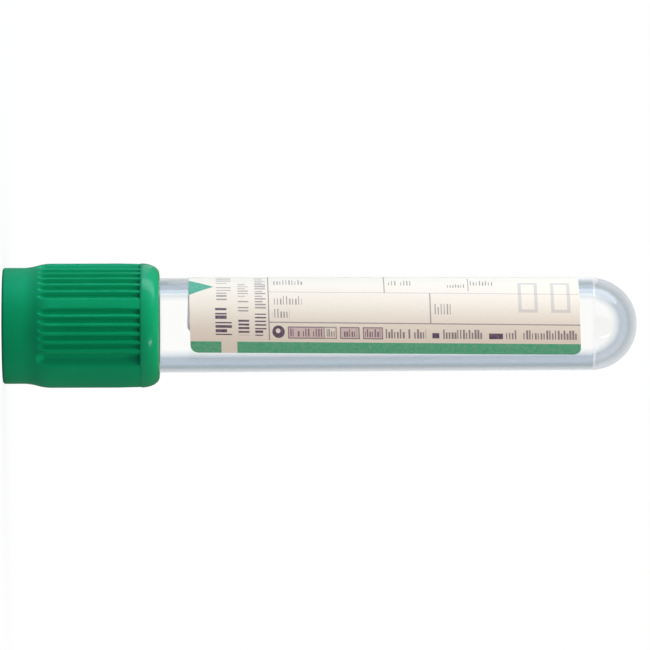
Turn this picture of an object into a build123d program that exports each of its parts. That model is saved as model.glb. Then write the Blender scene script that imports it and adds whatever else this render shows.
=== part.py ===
"""Evacuated blood collection tube with a ribbed safety closure, in millimetres.

The tube stands on the flat end of its closure, and +Z runs up the common axis
to the tube's round end. The closure cover and the rubber stopper come off as
one; the tube and its wrap label stay together.
"""

import os
from math import cos, radians, sin

from build123d import *

# Tube: injection-moulded clear plastic, open rim down, with moulding draft
tube_length = 75.0
rim_diameter = 12.33
tube_taper = 0.4               # how much narrower the wall is at the round end
tube_wall = 1.0
dome_wall = 1.15
rim_round = 0.3

# Cover: moulded collar, shoulder, ribbed barrel and rounded skirt lip
cover_length = 20.25
cover_wall = 1.565             # at the barrel
collar_wall = 0.785
collar_length = 2.6
collar_edge_round = 0.35
shoulder_length = 3.7
waist_depth = 0.06             # slight waist where the ribs stop
waist_length = 2.8
lip_round_length = 2.3         # the lip is rounded as a quarter ellipse
lip_flat = 0.215               # left of the lip's end face, beside the bore
top_wall = 1.6
piercing_opening = 8.4         # hole in the flat end, over the stopper
piercing_edge_chamfer = 0.4
skirt_clearance = 0.3          # radial, between tube wall and skirt
catch_height = 0.8             # ring that holds the stopper's head in
catch_lead = 0.8
catch_clearance = 0.18         # radial, between tube rim and catch ring

# Ribs: round-bottomed grooves in two zones, with smooth grip panels between
groove_depth = 0.28
groove_radius = 0.33
groove_pitch = 8.25            # degrees
grooves_each_side = 5
edge_groove_radius = 0.6       # the outermost groove of each side is broader
edge_groove_angle = 51.5       # degrees from the middle of its zone
edge_groove_depth = 0.24
rib_end_margin = 0.15          # from the grooves' square ends to the lip's round
rib_zone_angles = (-111.4, 68.6)

# Stopper: rubber head caught in the cover, plug with sealing rings in the tube
head_height = 5.4
head_side_gap = 0.05
head_radius_overlap = 0.32     # how far the head reaches over the catch ring
well_diameter = 6.4
well_depth = 2.4
well_dish = 0.55
plug_length = 6.6
plug_clearance = 0.05          # radial, at the sealing rings
ring_height = 1.1
ring_relief = 0.2              # depth of the waists between sealing rings
ring_count = 3
plug_lead = 0.7
cavity_diameter = 5.6
cavity_depth = 4.4
cavity_dish = 0.5

# Label: one sheet wrapped round the tube, short of closing
label_from_rim = 17.0
label_to_dome = 1.335          # stops short of where the round end begins
label_thickness = 0.1
label_first_edge = -54.0       # degrees about +Z
label_wrap = 224.6             # degrees, measured backwards from the first edge
label_corner = 1.0

rim_height = top_wall + head_height
tube_top = rim_height + tube_length
rim_radius = rim_diameter / 2
dome_radius = rim_radius - tube_taper / 2
dome_height = tube_top - dome_radius
skirt_radius = rim_radius + skirt_clearance
catch_radius = rim_radius + catch_clearance
head_radius = catch_radius + head_radius_overlap
seat_radius = head_radius + head_side_gap
collar_radius = seat_radius + collar_wall
barrel_radius = skirt_radius + cover_wall
lip_start = cover_length - lip_round_length
rib_end = lip_start - rib_end_margin


def tube_radius(height):
    """Outer radius of the drafted tube wall at a height above the base."""
    share = (height - rim_height) / (dome_height - rim_height)
    return rim_radius + share * (dome_radius - rim_radius)


def bore_radius(height):
    """Inner radius of the tube wall, which follows the outside."""
    return tube_radius(height) - tube_wall


def build_tube():
    """Clear moulded tube: a drafted wall closed by a round end."""
    inner_dome = dome_radius - dome_wall
    with BuildPart() as tube:
        with BuildSketch(Plane.XZ):
            with BuildLine():
                Line((rim_radius, rim_height), (dome_radius, dome_height))
                CenterArc((0, dome_height), dome_radius, 0, 90)
                Line((0, tube_top), (0, tube_top - dome_wall))
                EllipticalCenterArc(
                    (0, dome_height), bore_radius(dome_height), inner_dome, 90, arc_size=-90
                )
                Line(
                    (bore_radius(dome_height), dome_height),
                    (bore_radius(rim_height), rim_height),
                )
                Line((bore_radius(rim_height), rim_height), (rim_radius, rim_height))
            make_face()
        revolve(axis=Axis.Z)
        fillet(tube.faces().sort_by(Axis.Z)[0].edges(), rim_round)
    tube.part.label = "tube"
    return tube.part


def build_shield():
    """Green closure cover, turned outline first and then grooved."""
    opening_radius = piercing_opening / 2
    shoulder_top = collar_length + shoulder_length
    middle = ((collar_radius + barrel_radius) / 2, collar_length + shoulder_length / 2)
    lip_radius = skirt_radius + lip_flat
    waist_radius = barrel_radius - waist_depth
    catch_top = rim_height + catch_height
    with BuildPart() as shield:
        with BuildSketch(Plane.XZ):
            with BuildLine():
                Line((opening_radius, 0), (collar_radius, 0))
                Line((collar_radius, 0), (collar_radius, collar_length))
                lower = TangentArc((collar_radius, collar_length), middle, tangent=(0, 1))
                TangentArc(middle, (barrel_radius, shoulder_top), tangent=lower % 1)
                Polyline(
                    (barrel_radius, shoulder_top),
                    (barrel_radius, rib_end - waist_length),
                    (waist_radius, rib_end),
                    (barrel_radius, lip_start),
                )
                EllipticalCenterArc(
                    (lip_radius, lip_start), cover_wall - lip_flat, lip_round_length, arc_size=90
                )
                Polyline(
                    (lip_radius, cover_length),
                    (skirt_radius, cover_length),
                    (skirt_radius, catch_top + catch_lead),
                    (catch_radius, catch_top),
                    (catch_radius, rim_height),
                    (seat_radius, rim_height),
                    (seat_radius, top_wall),
                    (opening_radius, top_wall),
                    (opening_radius, 0),
                )
            make_face()
        revolve(axis=Axis.Z)
        base_edges = shield.faces().sort_by(Axis.Z)[0].edges().sort_by(SortBy.RADIUS)
        fillet(base_edges[-1], collar_edge_round)
        chamfer(base_edges[0], piercing_edge_chamfer)
        with BuildSketch(Plane.XY.offset(collar_length)):
            for zone in rib_zone_angles:
                for side in (-1, 1):
                    for step in range(1, grooves_each_side + 1):
                        angle = radians(zone + side * step * groove_pitch)
                        reach = barrel_radius - groove_depth + groove_radius
                        with Locations((reach * cos(angle), reach * sin(angle))):
                            Circle(groove_radius)
                    angle = radians(zone + side * edge_groove_angle)
                    reach = barrel_radius - edge_groove_depth + edge_groove_radius
                    with Locations((reach * cos(angle), reach * sin(angle))):
                        Circle(edge_groove_radius)
        extrude(amount=rib_end - collar_length, mode=Mode.SUBTRACT)
    shield.part.label = "shield"
    return shield.part


def build_stopper():
    """Rubber stopper: head with a piercing well, and a hollow sealing plug."""
    well_radius = well_diameter / 2
    cavity_radius = cavity_diameter / 2
    plug_end = rim_height + plug_length
    well_floor = top_wall + well_depth
    cavity_floor = plug_end - cavity_depth
    waist_height = (plug_length - plug_lead - ring_count * ring_height) / ring_count
    outline = [(well_radius, top_wall), (head_radius, top_wall), (head_radius, rim_height)]
    height = rim_height
    for _ in range(ring_count):
        relief = bore_radius(height) - plug_clearance - ring_relief
        outline.append((relief, height))
        height += waist_height
        outline.append((relief, height))
        sealing = bore_radius(height + ring_height) - plug_clearance
        outline.append((sealing, height))
        height += ring_height
        outline.append((sealing, height))
    outline.append((bore_radius(plug_end) - plug_clearance - plug_lead / 2, plug_end))
    outline.append((cavity_radius, plug_end))
    outline.append((cavity_radius, cavity_floor))
    with BuildPart() as stopper:
        with BuildSketch(Plane.XZ):
            with BuildLine():
                Polyline(*outline)
                ThreePointArc(
                    (0, cavity_floor - cavity_dish),
                    (cavity_radius * sin(radians(45)), cavity_floor - cavity_dish / 2),
                    (cavity_radius, cavity_floor),
                )
                Line((0, cavity_floor - cavity_dish), (0, well_floor + well_dish))
                ThreePointArc(
                    (0, well_floor + well_dish),
                    (well_radius * sin(radians(45)), well_floor + well_dish / 2),
                    (well_radius, well_floor),
                )
                Line((well_radius, well_floor), (well_radius, top_wall))
            make_face()
        revolve(axis=Axis.Z)
    stopper.part.label = "stopper"
    return stopper.part


def build_label():
    """Wrap label: a thin sheet on the tube's draft, with rounded corners."""
    label_start = rim_height + label_from_rim
    label_end = dome_height - label_to_dome
    first_edge = Plane(
        origin=(0, 0, 0),
        x_dir=(cos(radians(label_first_edge)), sin(radians(label_first_edge)), 0),
        z_dir=(sin(radians(label_first_edge)), -cos(radians(label_first_edge)), 0),
    )
    with BuildPart() as label:
        with BuildSketch(first_edge):
            with BuildLine():
                Polyline(
                    (tube_radius(label_start), label_start),
                    (tube_radius(label_start) + label_thickness, label_start),
                    (tube_radius(label_end) + label_thickness, label_end),
                    (tube_radius(label_end), label_end),
                    close=True,
                )
            make_face()
        revolve(axis=Axis.Z, revolution_arc=-label_wrap)
        corners = label.edges().filter_by(GeomType.LINE).sort_by(Edge.length)[:4]
        fillet(corners, label_corner)
    label.part.label = "label"
    return label.part


os.makedirs("parts", exist_ok=True)
for piece in (build_tube(), build_shield(), build_stopper(), build_label()):
    export_step(piece, f"parts/{piece.label}.step")
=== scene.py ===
"""A blood collection tube: clear tube, green ribbed closure cover, rubber stopper and wrap label."""

from math import cos, pi, radians, sin, sqrt

import bpy
from mathutils import Matrix, Vector


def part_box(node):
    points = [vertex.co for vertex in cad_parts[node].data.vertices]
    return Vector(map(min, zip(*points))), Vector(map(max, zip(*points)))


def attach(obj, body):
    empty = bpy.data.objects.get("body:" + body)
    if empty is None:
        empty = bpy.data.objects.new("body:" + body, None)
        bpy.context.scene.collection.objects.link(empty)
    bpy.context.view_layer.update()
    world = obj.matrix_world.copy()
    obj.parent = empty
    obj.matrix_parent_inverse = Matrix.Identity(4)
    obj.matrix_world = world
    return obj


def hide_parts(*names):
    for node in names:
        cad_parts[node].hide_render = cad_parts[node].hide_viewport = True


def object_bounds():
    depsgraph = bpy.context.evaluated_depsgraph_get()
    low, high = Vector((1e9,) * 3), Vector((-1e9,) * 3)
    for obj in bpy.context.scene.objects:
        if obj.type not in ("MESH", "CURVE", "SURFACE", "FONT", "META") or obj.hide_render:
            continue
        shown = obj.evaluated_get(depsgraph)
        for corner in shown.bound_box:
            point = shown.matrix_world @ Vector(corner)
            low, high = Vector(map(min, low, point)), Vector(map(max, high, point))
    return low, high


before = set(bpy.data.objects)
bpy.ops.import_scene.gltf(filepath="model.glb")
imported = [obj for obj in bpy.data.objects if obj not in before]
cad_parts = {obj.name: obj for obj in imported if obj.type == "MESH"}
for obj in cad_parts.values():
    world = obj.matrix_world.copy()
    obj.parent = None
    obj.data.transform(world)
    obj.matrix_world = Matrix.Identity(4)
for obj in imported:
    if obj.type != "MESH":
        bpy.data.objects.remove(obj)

cad_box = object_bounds()
MM = 0.001

# ---------------------------------------------------------------- closure cover
# The cover is one green injection moulding: collar, S-shaped shoulder, matt barrel and shinier
# lip. Grooves in two sides of the barrel leave the ribs that fingers grip, with smooth panels
# between them. It snaps over the stopper's head and hangs over the rim of the tube.

cover_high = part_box("shield")[1]
stopper_low, stopper_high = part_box("stopper")
tube_low, tube_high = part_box("tube")

cover_length = cover_high.z
barrel_radius = cover_high.x
rim_height = tube_low.z
rim_radius = tube_high.x
head_radius = stopper_high.x
top_wall = stopper_low.z

collar_wall = 0.785 * MM
collar_length = 2.6 * MM
collar_edge = 0.35 * MM
shoulder_length = 3.7 * MM
waist_depth = 0.06 * MM
waist_length = 2.8 * MM
lip_length = 2.3 * MM
lip_flat = 0.215 * MM
rib_start = 1.1 * MM
rib_run_in = 2.0 * MM
rib_end_margin = 0.15 * MM
rib_end_half_step = 0.03 * MM
opening_radius = 4.2 * MM
opening_edge = 0.4 * MM
seat_gap = 0.05 * MM
skirt_gap = 0.3 * MM
catch_gap = 0.18 * MM
catch_height = 0.8 * MM
small_round = 0.12 * MM

seat_radius = head_radius + seat_gap
collar_radius = seat_radius + collar_wall
skirt_radius = rim_radius + skirt_gap
catch_radius = rim_radius + catch_gap
shoulder_top = collar_length + shoulder_length
lip_start = cover_length - lip_length
lip_depth = barrel_radius - skirt_radius - lip_flat
rib_end = lip_start - rib_end_margin
waist_start = rib_end - waist_length

collar_edge_steps = 6
shoulder_steps = 28
barrel_steps = 6
waist_shares = (0.3, 0.6, 0.85, 0.97)
lip_steps = 16
axis_reach = 0.0001 * MM


def quarter(steps):
    """The angles of a quarter circle in equal steps, from 0 to a right angle."""
    return [radians(90 * step / steps) for step in range(steps + 1)]


def rounded(corners, radii, steps):
    """An outline through the corners, each one rounded to its radius by a smooth curve."""
    outline = []
    for i, corner in enumerate(corners):
        here = Vector(corner)
        before = Vector(corners[i - 1]) - here
        after = Vector(corners[(i + 1) % len(corners)]) - here
        if radii[i] == 0:
            outline.append(here)
            continue
        start = here + before.normalized() * radii[i]
        end = here + after.normalized() * radii[i]
        for step in range(steps + 1):
            t = step / steps
            outline.append((1 - t) ** 2 * start + 2 * t * (1 - t) * here + t * t * end)
    return [tuple(p) for p in outline]


def put_in_scene(name, data):
    """Makes an object of that name from a mesh, a lamp or a camera, and puts it in the scene."""
    made = bpy.data.objects.new(name, data)
    bpy.context.collection.objects.link(made)
    return made


def lathe(name, outline, segments):
    """Turns a closed outline of (radius, height) points into a solid about the vertical axis."""
    vertices, rings = [], []
    for radius, height in outline:
        if radius < axis_reach:
            rings.append([len(vertices)] * segments)
            vertices.append((0, 0, height))
            continue
        rings.append([len(vertices) + k for k in range(segments)])
        for k in range(segments):
            turn = 2 * pi * k / segments
            vertices.append((radius * cos(turn), radius * sin(turn), height))
    faces = []
    for lower, upper in zip(rings, rings[1:] + rings[:1]):
        if lower[0] == lower[1] and upper[0] == upper[1]:
            continue
        for k in range(segments):
            nearby = (k + 1) % segments
            corners = [lower[k], lower[nearby], upper[nearby], upper[k]]
            faces.append(tuple(dict.fromkeys(corners)))
    mesh = bpy.data.meshes.new(name)
    mesh.from_pydata(vertices, [], faces)
    mesh.shade_smooth()
    return put_in_scene(name, mesh)


def sharpen(piece, angle):
    """Keeps shading smooth except across edges that turn more than the angle, in degrees."""
    piece.data.set_sharp_from_angle(angle=radians(angle))


cover_outline = [
    (opening_radius + opening_edge, 0),
    (collar_radius - collar_edge, 0),
]
for turn in quarter(collar_edge_steps)[1:]:
    cover_outline.append((
        collar_radius - collar_edge * (1 - sin(turn)),
        collar_edge * (1 - cos(turn)),
    ))
shoulder_rise = barrel_radius - collar_radius
shoulder_bend = (shoulder_length**2 + shoulder_rise**2) / (4 * shoulder_rise)
for step in range(shoulder_steps + 1):
    along = shoulder_length * step / shoulder_steps
    from_end = min(along, shoulder_length - along)
    bulge = shoulder_bend - sqrt(shoulder_bend**2 - from_end**2)
    radius = collar_radius + bulge if along <= shoulder_length / 2 else barrel_radius - bulge
    cover_outline.append((radius, collar_length + along))
for step in range(1, barrel_steps + 1):
    along = (waist_start - shoulder_top) * step / barrel_steps
    cover_outline.append((barrel_radius, shoulder_top + along))
for share in waist_shares:
    cover_outline.append((barrel_radius - waist_depth * share, waist_start + waist_length * share))
cover_outline += [
    (barrel_radius - waist_depth, rib_end - rib_end_half_step),
    (barrel_radius - waist_depth, rib_end + rib_end_half_step),
]
for turn in quarter(lip_steps):
    cover_outline.append((
        skirt_radius + lip_flat + lip_depth * cos(turn),
        lip_start + lip_length * sin(turn),
    ))
cover_outline += rounded(
    [
        (skirt_radius, cover_length),
        (skirt_radius, rim_height + 2 * catch_height),
        (catch_radius, rim_height + catch_height),
        (catch_radius, rim_height),
        (seat_radius, rim_height),
        (seat_radius, top_wall),
        (opening_radius, top_wall),
        (opening_radius, opening_edge),
    ],
    [small_round, small_round, small_round, 0, 0, 0, small_round, 0],
    steps=3,
)


class Wire:
    """A socket of a node tree. Arithmetic on wires adds Math nodes."""

    def __init__(self, tree, socket=None):
        self.tree, self.socket = tree, socket

    def node(self, kind, settings=None, sockets=None, output=0):
        """Adds a node with its settings and with values or links in its sockets."""
        made = self.tree.nodes.new(kind)
        for key, value in (settings or {}).items():
            if key == "stops":
                ramp = made.color_ramp.elements
                while len(ramp) < len(value):
                    ramp.new(0.5)
                for stop, (position, colour) in zip(ramp, value):
                    stop.position, stop.color = position, colour
            else:
                setattr(made, key, value)
        for key, value in (sockets or {}).items():
            if isinstance(value, Wire):
                self.tree.links.new(value.socket, made.inputs[key])
            else:
                made.inputs[key].default_value = value
        return Wire(self.tree, made.outputs[output] if len(made.outputs) else None)

    def calc(self, operation, *values, clamp=False):
        settings = {"operation": operation, "use_clamp": clamp}
        return self.node("ShaderNodeMath", settings, dict(enumerate(values)))

    def __getitem__(self, output):
        return Wire(self.tree, self.socket.node.outputs[output])

    def __add__(self, other):
        return self.calc("ADD", self, other)

    def __radd__(self, other):
        return self.calc("ADD", other, self)

    def __sub__(self, other):
        return self.calc("SUBTRACT", self, other)

    def __rsub__(self, other):
        return self.calc("SUBTRACT", other, self)

    def __mul__(self, other):
        return self.calc("MULTIPLY", self, other)

    def __rmul__(self, other):
        return self.calc("MULTIPLY", other, self)

    def __truediv__(self, other):
        return self.calc("DIVIDE", self, other)

    def __gt__(self, other):
        return self.calc("GREATER_THAN", self, other)

    def __lt__(self, other):
        return self.calc("LESS_THAN", self, other)

    def __or__(self, other):
        return self.calc("MAXIMUM", self, other)

    def __and__(self, other):
        return self.calc("MINIMUM", self, other)

    def __abs__(self):
        return self.calc("ABSOLUTE", self)


def add_inputs(tree, sizes):
    """Declares a geometry in and out, and a named number for each size."""
    tree.interface.new_socket("Geometry", in_out="INPUT", socket_type="NodeSocketGeometry")
    tree.interface.new_socket("Geometry", in_out="OUTPUT", socket_type="NodeSocketGeometry")
    for name, value in sizes.items():
        socket = tree.interface.new_socket(name, in_out="INPUT", socket_type="NodeSocketFloat")
        socket.default_value = value


def apply_tree(piece, tree, sizes):
    """Runs a geometry tree on a piece with these sizes, and keeps the result as its plain mesh."""
    modifier = piece.modifiers.new(tree.name, "NODES")
    modifier.node_group = tree
    for item in tree.interface.items_tree:
        if item.in_out == "INPUT" and item.name in sizes:
            modifier[item.identifier] = float(sizes[item.name])
    bpy.context.view_layer.update()
    made = bpy.data.meshes.new_from_object(piece.evaluated_get(bpy.context.evaluated_depsgraph_get()))
    piece.modifiers.remove(modifier)
    piece.data = made
    made.name = piece.name


rib_sizes = {
    "Zone angle": radians(-110.9),
    "Groove pitch": radians(8.25),
    "Grooves each side": 5,
    "Groove half width": radians(4.1),
    "Groove depth": 0.47 * MM,
    "Edge groove angle": radians(54.4),
    "Edge groove half width": radians(9.0),
    "Edge groove depth": 0.8 * MM,
    "Barrel radius": barrel_radius,
    "Lowest": collar_length + rib_start,
    "Run in": rib_run_in,
    "Highest": rib_end,
}


def rib_tree(material):
    """Presses round-bottomed grooves into the side of a turned blank, in two opposite zones."""
    tree = bpy.data.node_groups.new("press ribs", "GeometryNodeTree")
    add_inputs(tree, rib_sizes)
    start = Wire(tree)
    given = start.node("NodeGroupInput")
    place = start.node("ShaderNodeSeparateXYZ", sockets={0: start.node("GeometryNodeInputPosition")})
    x, y, height = place[0], place[1], place[2]
    radius = start.calc("SQRT", x * x + y * y)
    angle = start.calc("ARCTAN2", y, x) - given["Zone angle"]
    off_middle = abs(start.calc("WRAP", angle, pi / 2, -pi / 2))

    def groove(distance, half_width, depth):
        """How deep a groove is at a distance from its middle: round at its bottom and into the ribs."""
        wave = start.calc("COSINE", (distance / half_width & 1.0) * (pi / 2))
        return wave * wave * depth

    number = start.calc("ROUND", off_middle / given["Groove pitch"])
    number = (number | 1.0) & given["Grooves each side"]
    from_groove = abs(off_middle - number * given["Groove pitch"])
    from_edge = abs(off_middle - given["Edge groove angle"])
    pressed = (
        groove(from_groove, given["Groove half width"], given["Groove depth"])
        | groove(from_edge, given["Edge groove half width"], given["Edge groove depth"])
    )
    run_in = start.calc("DIVIDE", height - given["Lowest"], given["Run in"], clamp=True)
    pressed = pressed * (run_in * run_in * (3.0 - 2.0 * run_in))
    scale = (radius & given["Barrel radius"] - pressed) / radius
    inside = (height > given["Lowest"]) & (height < given["Highest"])
    moved = start.node("ShaderNodeCombineXYZ", sockets={0: x * scale, 1: y * scale, 2: height})
    shift = start.node("GeometryNodeSetPosition", sockets={
        "Geometry": given["Geometry"],
        "Selection": inside,
        "Position": moved,
    })
    real = start.node("GeometryNodeRealizeInstances", sockets={"Geometry": shift})
    dressed = start.node("GeometryNodeSetMaterial", sockets={"Geometry": real, "Material": material})
    start.node("NodeGroupOutput", sockets={"Geometry": dressed})
    return tree


def new_material(name):
    """A material with an empty tree, and a wire that starts it."""
    material = bpy.data.materials.new(name)
    material.use_nodes = True
    material.node_tree.nodes.clear()
    return material, Wire(material.node_tree)


def show(start, surface):
    """Ends a material at its output."""
    start.node("ShaderNodeOutputMaterial", sockets={"Surface": surface})


def mix(start, share, first, second):
    """A colour between two colours."""
    return start.node("ShaderNodeMix", {"data_type": "RGBA"}, {0: share, 6: first, 7: second}, output=2)


def mottle(start, place, per_mm, detail):
    """Soft noise between 0 and 1, with so many features to the millimetre."""
    return start.node("ShaderNodeTexNoise", sockets={
        "Vector": place,
        "Scale": per_mm / MM,
        "Detail": detail,
    })


green_deep = (0.000, 0.228, 0.064, 1)
green_light = (0.000, 0.272, 0.080, 1)
green_gloss = (0.05, 0.8, 1.0, 1)

green_plastic, start = new_material("green moulded plastic")
place = start.node("ShaderNodeTexCoord", output=3)
clouds = mottle(start, place, per_mm=0.25, detail=2.0)
skin = mottle(start, place, per_mm=3.0, detail=3.0)
on_lip = start.node("ShaderNodeSeparateXYZ", sockets={0: place}, output=2) > lip_start
grain = start.node("ShaderNodeBump", sockets={"Strength": 0.12, "Distance": 0.02 * MM, "Height": skin})
show(start, start.node("ShaderNodeBsdfPrincipled", sockets={
    "Base Color": mix(start, clouds, green_deep, green_light),
    "Roughness": 0.6 + 0.1 * clouds,
    "IOR": 1.6,
    "Specular IOR Level": 1.0,
    "Specular Tint": green_gloss,
    "Coat Weight": 0.08 + 0.1 * clouds + 0.4 * on_lip,
    "Coat Roughness": 0.18,
    "Normal": grain,
}))

cover = lathe("closure_cover", cover_outline, segments=720)
apply_tree(cover, rib_tree(green_plastic), rib_sizes)
sharpen(cover, 35)
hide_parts("shield")
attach(cover, "closure")

# -------------------------------------------------------------------- stopper
# The stopper is moulded in dark grey butyl rubber. Its head is caught in the cover, with a
# dished well where a needle pierces it, and its hollow plug seals the tube with three rings.

well_radius = 3.2 * MM
well_depth = 2.4 * MM
well_dish = 0.55 * MM
well_round = 0.3 * MM
head_top_round = 0.25 * MM
head_end_round = 0.2 * MM
plug_ring_count = 3
plug_ring_height = 1.1 * MM
plug_ring_relief = 0.2 * MM
plug_lead = 0.7 * MM
plug_clearance = 0.05 * MM
cavity_radius = 2.8 * MM
cavity_depth = 4.4 * MM
cavity_dish = 0.5 * MM
tube_wall = 1.0 * MM
tube_taper = 0.2 * MM

plug_end = stopper_high.z
plug_waist = (plug_end - rim_height - plug_lead) / plug_ring_count - plug_ring_height
dome_radius = rim_radius - tube_taper
dome_height = tube_high.z - dome_radius


def tube_radius(height):
    """Outer radius of the tube's drafted wall."""
    return rim_radius - tube_taper * (height - rim_height) / (dome_height - rim_height)


def dish(rim, floor, depth, steps=8):
    """Points of a shallow bowl from its rim to its middle, depth away from the floor height."""
    return [(rim * cos(turn), floor + depth * sin(turn)) for turn in quarter(steps)]


plug_corners = [(well_radius, top_wall), (head_radius, top_wall), (head_radius, rim_height)]
plug_radii = [well_round, head_top_round, head_end_round]
height = rim_height
for _ in range(plug_ring_count):
    sealing = tube_radius(height + plug_waist + plug_ring_height) - tube_wall - plug_clearance
    plug_corners += [
        (sealing - plug_ring_relief, height),
        (sealing - plug_ring_relief, height + plug_waist),
        (sealing, height + plug_waist),
        (sealing, height + plug_waist + plug_ring_height),
    ]
    plug_radii += [small_round / 2, small_round / 2, small_round, small_round]
    height += plug_waist + plug_ring_height
plug_corners += [(sealing - plug_lead / 2, plug_end), (cavity_radius, plug_end)]
plug_radii += [small_round, small_round]
stopper_outline = rounded(plug_corners, plug_radii, steps=4)
stopper_outline += dish(cavity_radius, plug_end - cavity_depth, -cavity_dish)
stopper_outline += dish(well_radius, top_wall + well_depth, well_dish)[::-1]

rubber_dark = (0.045, 0.05, 0.05, 1)
rubber_dusty = (0.075, 0.08, 0.08, 1)

stopper_grey, start = new_material("grey butyl rubber")
dust = mottle(start, start.node("ShaderNodeTexCoord", output=3), per_mm=1.5, detail=4.0)
bloom = start.node("ShaderNodeBump", sockets={"Strength": 0.2, "Distance": 0.03 * MM, "Height": dust})
show(start, start.node("ShaderNodeBsdfPrincipled", sockets={
    "Base Color": mix(start, dust, rubber_dark, rubber_dusty),
    "Roughness": 0.55 + 0.2 * dust,
    "IOR": 1.45,
    "Normal": bloom,
}))

stopper = lathe("rubber_stopper", stopper_outline, segments=144)
stopper.data.materials.append(stopper_grey)
sharpen(stopper, 50)
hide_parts("stopper")
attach(stopper, "closure")

# ----------------------------------------------------------------------- tube
# The tube is moulded in clear polyester with a little draft, so it narrows towards its round
# end. There a faint groove shows how its mould parts, with a painted glint along it. Its rim sits
# on the stopper's head, inside the cover.

dome_wall = 1.15 * MM
rim_round = 0.3 * MM
parting_turn = radians(3.4)
parting_line = 0.14 * MM
parting_depth = 0.02 * MM
rim_steps = 8
wall_steps = 24
dome_steps = 40

wall_start = rim_height + rim_round
wall_length = dome_height - wall_start
wall_heights = [wall_start + wall_length * step / wall_steps for step in range(1, wall_steps)]
inner_dome = dome_radius - dome_wall
parting_bend = parting_line / 2 / dome_radius
parting_height = dome_height + dome_radius * sin(parting_turn)
dome_turns = quarter(dome_steps)
dome_turns += [parting_turn - parting_bend, parting_turn, parting_turn + parting_bend]

tube_outline = []
for turn in quarter(rim_steps)[::-1]:
    tube_outline.append((
        rim_radius - tube_wall + rim_round * (1 - sin(turn)),
        rim_height + rim_round * (1 - cos(turn)),
    ))
for turn in quarter(rim_steps):
    tube_outline.append((
        rim_radius - rim_round * (1 - sin(turn)),
        rim_height + rim_round * (1 - cos(turn)),
    ))
tube_outline += [(tube_radius(height), height) for height in wall_heights]
for turn in sorted(dome_turns):
    reach = dome_radius - parting_depth * (turn == parting_turn)
    tube_outline.append((reach * cos(turn), dome_height + reach * sin(turn)))
for turn in quarter(dome_steps)[::-1]:
    tube_outline.append(((dome_radius - tube_wall) * cos(turn), dome_height + inner_dome * sin(turn)))
tube_outline += [(tube_radius(height) - tube_wall, height) for height in wall_heights[::-1]]

white = (1, 1, 1, 1)
shadow_tint = (0.93, 0.94, 0.95, 1)
line_glint = (0.92, 0.92, 0.95, 1)
line_strength = 0.4
dome_darkening = 0.2

# The clear wall's colour is painted grey-blue where it is seen at a slant, and more so on its round
# end. This painted shade stands in for the darker surroundings seen through its edges. Its bore
# and the outline of its round end stay clear.
clear_plastic, start = new_material("clear polyester")
facing = start.node("ShaderNodeLayerWeight", sockets={"Blend": 0.5}, output=1)
place = start.node("ShaderNodeTexCoord", output=3)
height_here = start.node("ShaderNodeSeparateXYZ", sockets={0: place}, output=2)
on_dome = start.calc("MULTIPLY", height_here - dome_height, 1 / dome_wall, clamp=True)
painted_edge_shade = start.node("ShaderNodeValToRGB", {"stops": [
    (0.14, (0.97, 0.97, 0.96, 1)),
    (0.2, (0.62, 0.7, 0.74, 1)),
    (0.28, (0.2, 0.27, 0.36, 1)),
    (0.42, (0.19, 0.27, 0.37, 1)),
    (0.54, (0.09, 0.14, 0.16, 1)),
    (0.66, (0.28, 0.31, 0.34, 1)),
    (0.86, (0.7, 0.72, 0.74, 1)),
]}, {"Fac": facing * (1 + dome_darkening * on_dome)})
past_dome = start.node("ShaderNodeVectorMath", {"operation": "SUBTRACT"}, {
    0: place,
    1: (0, 0, dome_height),
})
spread = start.node("ShaderNodeVectorMath", {"operation": "MAXIMUM"}, {0: past_dome, 1: (-1, -1, 0)})
from_middle = start.node("ShaderNodeVectorMath", {"operation": "LENGTH"}, {0: spread}, output=1)
bore = from_middle < dome_radius - tube_wall / 2
painted_edge_shade = mix(start, on_dome * facing * facing | bore, painted_edge_shade, white)
# The mould line's paler colour is a painted glint.
on_line = abs(height_here - parting_height) < parting_line
painted_edge_shade = mix(start, on_line * line_strength, painted_edge_shade, line_glint)
glass = start.node("ShaderNodeBsdfPrincipled", sockets={
    "Base Color": painted_edge_shade,
    "Roughness": 0.0,
    "IOR": 1.575,
    "Transmission Weight": 1.0,
})
lamp_path = start.node("ShaderNodeLightPath", output=1)
see_lamps = start.node("ShaderNodeBsdfTransparent", sockets={"Color": shadow_tint})
show(start, start.node("ShaderNodeMixShader", sockets={0: lamp_path, 1: glass, 2: see_lamps}))

tube = lathe("clear_tube", tube_outline, segments=256)
tube.data.materials.append(clear_plastic)
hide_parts("tube")
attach(tube, "tube")

# ---------------------------------------------------------------------- label
# The label is coated cream paper, printed in green, mauve and dark ink and wrapped most of the
# way round the tube by machine, a little askew. A clear window is left beside its long edges.

label_low, label_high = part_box("label")
label_first_edge = -55.5
label_creep = 6.2
label_wrap = 224.6
label_corner = 1.0 * MM
label_thickness = 0.09 * MM
label_lift = 0.01 * MM
label_skew = 0.62 * MM
label_shift = 0.35 * MM
label_trim = 0.4 * MM
corner_steps = 6
column_step = 2.0
label_rows = 16

label_start = label_low.z + label_shift
label_length = label_high.z - label_low.z - label_trim
middle_radius = tube_radius((label_low.z + label_high.z) / 2)
sheet_width = radians(label_wrap) * middle_radius


def corner_inset(along, length):
    """How much shorter the sheet is at its rounded corners."""
    near = min(along, length - along)
    if near >= label_corner:
        return 0.0
    return label_corner - sqrt(label_corner**2 - (label_corner - near) ** 2)


corner_columns = [label_corner * (1 - cos(turn)) for turn in quarter(corner_steps)]
inner_columns = int(label_wrap / column_step)
span = sheet_width - 2 * label_corner
columns = corner_columns + [label_corner + span * k / inner_columns for k in range(1, inner_columns)]
columns += [sheet_width - across for across in reversed(corner_columns)]

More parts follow.
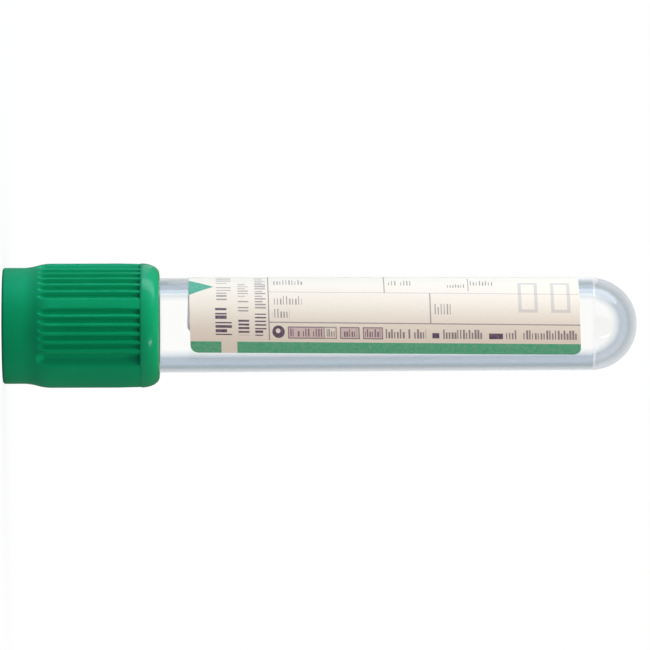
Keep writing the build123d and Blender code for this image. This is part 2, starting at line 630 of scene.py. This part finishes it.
vertices, sheet_places = [], []
for lift in (label_lift, label_lift + label_thickness):
    for across in columns:
        inset = corner_inset(across, sheet_width)
        for row in range(label_rows + 1):
            along = inset + (label_length - 2 * inset) * row / label_rows
            height = label_start + along - label_skew * across / sheet_width
            turn = radians(label_first_edge + label_creep * along / label_length) - across / middle_radius
            radius = tube_radius(height) + lift
            vertices.append((radius * cos(turn), radius * sin(turn), height))
            sheet_places.append((across / MM, along / MM))

# The inner side comes first and the printed side follows, one layer of vertices further on.
stride = label_rows + 1
layer = len(columns) * stride
last_column = layer - stride
faces = []
for a in range(last_column):
    if a % stride < label_rows:
        faces.append((a, a + stride, a + stride + 1, a + 1))
        faces.append((layer + a, layer + a + 1, layer + a + stride + 1, layer + a + stride))
edge = list(range(0, last_column, stride))
edge += list(range(last_column, last_column + label_rows))
edge += list(range(last_column + label_rows, label_rows, -stride))
edge += list(range(label_rows, 0, -1))
for a, b in zip(edge, edge[1:] + edge[:1]):
    faces.append((a, layer + a, layer + b, b))

sheet = bpy.data.meshes.new("wrap_label")
sheet.from_pydata(vertices, [], faces)
sheet.shade_smooth()
unprinted = (-1.0, 0.0)
print_map = sheet.uv_layers.new(name="print")
for face in sheet.polygons:
    printed = min(face.vertices) >= layer
    for corner in face.loop_indices:
        spot = sheet_places[sheet.loops[corner].vertex_index]
        print_map.data[corner].uv = spot if printed else unprinted

# The print map is in millimetres: round the tube from the first long edge, and along the tube.
label_paper, start = new_material("printed label paper")
print_place = start.node("ShaderNodeUVMap", {"uv_map": "print"})
round_tube = start.node("ShaderNodeSeparateXYZ", sockets={0: print_place})
along_tube = round_tube[1]


def any_of(masks):
    """Where one mask or another is."""
    joined, *others = masks
    for mask in others:
        joined = joined | mask
    return joined


def strip(value, low, high):
    """1 between two values, else 0."""
    return (value > low) & (value < high)


def block(near, far, first, last):
    """A filled rectangle, from near to far round the tube and from first to last along it."""
    return strip(round_tube, near, far) & strip(along_tube, first, last)


def frame_line(near, far, first, last, line=0.16):
    """A rectangle drawn in line."""
    inner = block(near + line, far - line, first + line, last - line)
    return block(near, far, first, last) - inner


def disc(round_middle, along_middle, radius):
    """A filled circle on the sheet."""
    aside = round_tube - round_middle
    ahead = along_tube - along_middle
    return aside * aside + ahead * ahead < radius * radius


short_stroke = 0.7
thin_stroke = 0.6
stroke_spread = 0.8
blank_share = 0.08


def chance(cell, seed):
    """A number between 0 and 1 for each cell, always the same for a seed."""
    return start.node("ShaderNodeTexWhiteNoise", {"noise_dimensions": "1D"}, {"W": cell + seed})


def dummy_type(run, rise, first, last, foot, top, pitch, weight, seed):
    """A line of upright strokes that stands for small print and spells nothing."""
    place = run / pitch
    cell = start.calc("FLOOR", place)
    width = chance(cell, seed)
    tall = start.calc("ROUND", chance(cell, seed + 0.5))
    height = foot + (top - foot) * (short_stroke + (1 - short_stroke) * tall)
    stroke = (place - cell < weight * (thin_stroke + stroke_spread * width)) & (rise < height)
    return (stroke & (width < 1 - blank_share)) & strip(run, first, last) & (rise > foot)


def type_lines(run, rise, lines):
    """Lines of stand-in type: each has its first and last, foot and top, pitch, weight and seed."""
    return any_of(dummy_type(run, rise, *line) for line in lines)


sheet_end = 51
band_width = 1.6
green_band = block(0, band_width, -1, 3.98) | block(0, band_width, 6.03, sheet_end)
arrow_middle = 9.25
arrow_length = 3.15
arrow_half_base = 1.5
arrow = abs(round_tube - arrow_middle) < arrow_half_base * (1 - along_tube / arrow_length)

form_start = 10.2
row_rule = 0.11
rules = any_of(block(*edges) for edges in (
    (1.85, 22.4, 10.12, 10.28),
    (8.38, 22.4, 25.1, 25.24),
    (4.2, 8.38, 30.95, 31.12),
    (8.8, 11.8, 35.95, 36.07),
    (4.05, 4.2, form_start, sheet_end),
))
faint_rules = any_of(
    block(near, near + row_rule, form_start, sheet_end) for near in (8.33, 12.6, 16.8, 21.0)
)

bold_type = type_lines(round_tube, along_tube, (
    (2.45, 4.1, 3.3, 5.4, 0.56, 0.62, 3),
    (4.3, 5.9, 3.3, 5.4, 0.56, 0.62, 11),
    (2.45, 4.4, 6.25, 7.65, 0.46, 0.52, 23),
    (2.4, 5.2, 8.4, 9.85, 0.46, 0.52, 31),
))
fine_type = type_lines(round_tube, along_tube, (
    (6.85, 12.4, 3.5, 5.4, 0.5, 0.42, 43),
    (5.2, 6.9, 6.25, 7.6, 0.42, 0.4, 59),
    (7.5, 9.9, 6.25, 7.6, 0.42, 0.36, 61),
    (5.85, 12.2, 8.45, 9.85, 0.42, 0.46, 71),
))
fine_type = fine_type | type_lines(along_tube, round_tube, (
    (10.65, 14.5, 6.45, 7.7, 0.39, 0.38, 83),
    (10.65, 12.9, 4.7, 5.85, 0.39, 0.44, 97),
    (31.4, 33.9, 5.35, 6.75, 0.39, 0.4, 103),
    (10.65, 14.7, 9.8, 11.1, 0.39, 0.4, 113),
    (25.6, 28.6, 9.8, 11.0, 0.39, 0.4, 127),
    (33.3, 35.5, 9.4, 10.2, 0.34, 0.46, 131),
    (36.3, 39.3, 9.9, 11.1, 0.39, 0.4, 139),
))
row_type = type_lines(along_tube, round_tube, (
    (12.9, 17.0, 2.35, 3.35, 0.33, 0.56, 149),
    (17.6, 18.6, 2.35, 3.35, 0.33, 0.56, 151),
    (19.6, 21.5, 2.35, 3.35, 0.33, 0.56, 157),
    (22.55, 24.5, 2.35, 3.35, 0.33, 0.56, 163),
    (25.2, 30.4, 2.2, 3.4, 0.37, 0.56, 167),
    (32.6, 37.6, 2.2, 3.4, 0.37, 0.56, 173),
    (40.7, 49.8, 2.2, 3.4, 0.37, 0.56, 179),
))

cell_row = (2.05, 3.62)
cells = any_of((
    frame_line(*cell_row, 12.6, 18.9),
    block(*cell_row, 17.2, 17.35),
    frame_line(*cell_row, 19.3, 21.85),
    frame_line(*cell_row, 22.25, 24.85),
))
cell_ground = any_of(
    block(*cell_row, first, last) for first, last in ((12.6, 17.2), (19.3, 21.85), (22.25, 24.85))
)
spots = any_of((
    disc(2.93, 11.4, 0.8) - disc(3.05, 11.35, 0.3),
    block(2.25, 2.95, 31.2, 32.1),
    block(2.2, 2.95, 38.5, 40.3),
))
pale_boxes = frame_line(5.7, 10.6, 42.4, 44.9, line=0.42)
pale_boxes = pale_boxes | frame_line(5.7, 10.6, 46.6, 49.1, line=0.42)

paper_pale = (0.82, 0.695, 0.595, 1)
paper_deep = (0.77, 0.65, 0.555, 1)
bare_paper = (0.9, 0.9, 0.88, 1)
green_ink = (0.068, 0.365, 0.2, 1)
arrow_ink = (0.06, 0.34, 0.23, 1)
mauve_ink = (0.5, 0.3, 0.34, 1)
blue_ink = (0.2, 0.2, 0.3, 1)
dark_ink = (0.055, 0.022, 0.08, 1)

fibres = mottle(start, start.node("ShaderNodeTexCoord", output=3), per_mm=2.5, detail=4.0)
ink_cover = 0.78 + 0.3 * fibres
coloured = mix(start, fibres, paper_pale, paper_deep)
for share, ink in (
    (green_band * ink_cover, green_ink),
    (arrow * ink_cover, arrow_ink),
    (cell_ground * 0.5, mauve_ink),
    (faint_rules * 0.3, dark_ink),
    (pale_boxes * 0.3, blue_ink),
    ((rules * 0.6 | fine_type * 0.62 | row_type * 0.75 | cells * 0.6) * ink_cover, dark_ink),
    ((bold_type | spots) * 0.95 * ink_cover, dark_ink),
    (round_tube < unprinted[0] / 2, bare_paper),
):
    coloured = mix(start, share, coloured, ink)
texture = start.node("ShaderNodeBump", sockets={
    "Strength": 0.1,
    "Distance": 0.01 * MM,
    "Height": fibres,
})
show(start, start.node("ShaderNodeBsdfPrincipled", sockets={
    "Base Color": coloured,
    "Roughness": 0.4 + 0.14 * fibres,
    "IOR": 1.45,
    "Specular IOR Level": 0.1,
    "Normal": texture,
}))

label = put_in_scene("wrap_label", sheet)
label.data.materials.append(label_paper)
sharpen(label, 40)
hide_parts("label")
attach(label, "tube")

# ------------------------------------------------------- floor, light and camera
# The closure stands on a pale floor before a white backdrop. Three of the seven soft lamps are on
# the side that is uppermost in the view, and a warm one is high in front. The camera looks from
# the side and is turned a quarter turn, so that the tube lies across the view.

backdrop_white = 1.0
near_white = 1.25
glossy_share = 0.03
floor_half = 2.0
floor_tone = (0.2, 0.2, 0.2, 1)
shadow_reach = 0.12
shadow_share = 0.3


def backdrop_share(start):
    """1 for a ray that sees the backdrop, straight or through clear plastic, and little in gloss."""
    seen = start.node("ShaderNodeLightPath")
    clear = seen | seen["Is Transmission Ray"] | seen["Is Singular Ray"]
    return clear | glossy_share * seen["Is Glossy Ray"]


floor_corners = [(-floor_half, -floor_half, 0), (floor_half, -floor_half, 0)]
floor_corners += [(floor_half, floor_half, 0), (-floor_half, floor_half, 0)]
floor_mesh = bpy.data.meshes.new("floor")
floor_mesh.from_pydata(floor_corners, [], [(0, 1, 2, 3)])
floor = put_in_scene("floor", floor_mesh)
floor_paper, start = new_material("floor paper")
place = start.node("ShaderNodeTexCoord", output=3)
from_part = start.node("ShaderNodeVectorMath", {"operation": "LENGTH"}, {0: place}, output=1)
faded = start.calc("MULTIPLY", from_part, 1 / shadow_reach, clamp=True)
lit = start.node("ShaderNodeBsdfDiffuse", sockets={"Color": floor_tone})
near_glow = start.node("ShaderNodeEmission", sockets={"Color": white, "Strength": near_white})
far_glow = start.node("ShaderNodeEmission", sockets={"Color": white, "Strength": backdrop_white})
glow = start.node("ShaderNodeMixShader", sockets={0: faded, 1: near_glow, 2: far_glow})
show(start, start.node("ShaderNodeMixShader", sockets={
    0: backdrop_share(start) * (1 - shadow_share + shadow_share * faded),
    1: lit,
    2: glow,
}))
floor.data.materials.append(floor_paper)

room_tone = (0.8, 0.8, 0.8, 1)
room_strength = 0.38
mirrored_room_strength = 0.15

world = bpy.data.worlds.new("studio")
bpy.context.scene.world = world
world.use_nodes = True
world.node_tree.nodes.clear()
start = Wire(world.node_tree)
room, mirrored_room, backdrop = (
    start.node("ShaderNodeBackground", sockets={"Color": colour, "Strength": strength})
    for colour, strength in (
        (room_tone, room_strength),
        (room_tone, mirrored_room_strength),
        (white, backdrop_white),
    )
)
in_gloss = start.node("ShaderNodeLightPath")["Is Glossy Ray"]
room = start.node("ShaderNodeMixShader", sockets={0: in_gloss, 1: room, 2: mirrored_room})
around = start.node("ShaderNodeMixShader", sockets={0: backdrop_share(start), 1: room, 2: backdrop})
start.node("ShaderNodeOutputWorld", sockets={"Surface": around})


def softbox(name, turn, distance, height, size, power, colour, mirrored=True):
    """A soft oval lamp at a bearing about the axis, in degrees, aimed at the tube's middle."""
    lamp = bpy.data.lights.new(name, "AREA")
    lamp.shape, lamp.size, lamp.size_y = "ELLIPSE", size[0], size[1]
    lamp.energy, lamp.color = power, colour
    piece = put_in_scene(name, lamp)
    place = Vector((distance * cos(radians(turn)), distance * sin(radians(turn)), height))
    aim = Vector((0, 0, cad_box[1].z / 2)) - place
    piece.matrix_world = Matrix.Translation(place) @ aim.to_track_quat("-Z", "Y").to_matrix().to_4x4()
    piece.visible_transmission = False
    piece.visible_glossy = mirrored


softbox("key", -151, 0.45, 0.46, (0.28, 0.34), 3.5, (0.78, 0.91, 1.0), mirrored=False)
softbox("sky", -184, 0.55, 0.4, (0.48, 0.8), 1.2, (0.15, 0.6, 1.0), mirrored=False)
softbox("strip", -177, 0.55, 0.26, (0.28, 0.75), 1.85, (0.8, 0.93, 1.0))
softbox("spark", -53, 0.5, 0.42, (0.05, 0.22), 0.5, (0.9, 0.97, 1.0))
softbox("front", -80, 0.26, 0.6, (0.2, 0.24), 2.3, (1.0, 0.88, 0.76), mirrored=False)
softbox("under", 0, 0.5, 0.12, (0.1, 0.22), 0.65, (0.9, 0.95, 1.0), mirrored=False)
softbox("rear", -215, 0.5, 0.08, (0.8, 0.13), 0.2, (0.85, 0.93, 1.0))

view_width = 84.07 * MM
view_height = 41.655 * MM
view_shift = 0.05 * MM
view_roll = radians(-0.2)
lens = 600.0
film_width = 36.0
camera_distance = view_width * lens / film_width

camera_data = bpy.data.cameras.new("camera")
camera_data.lens = lens
camera_data.sensor_width = film_width
camera = put_in_scene("camera", camera_data)
camera.matrix_world = Matrix((
    (0, -1, 0, view_shift),
    (0, 0, -1, -camera_distance),
    (1, 0, 0, view_height),
    (0, 0, 0, 1),
)) @ Matrix.Rotation(view_roll, 4, "Z")
bpy.context.scene.camera = camera
bpy.context.scene.view_settings.view_transform = "Standard"
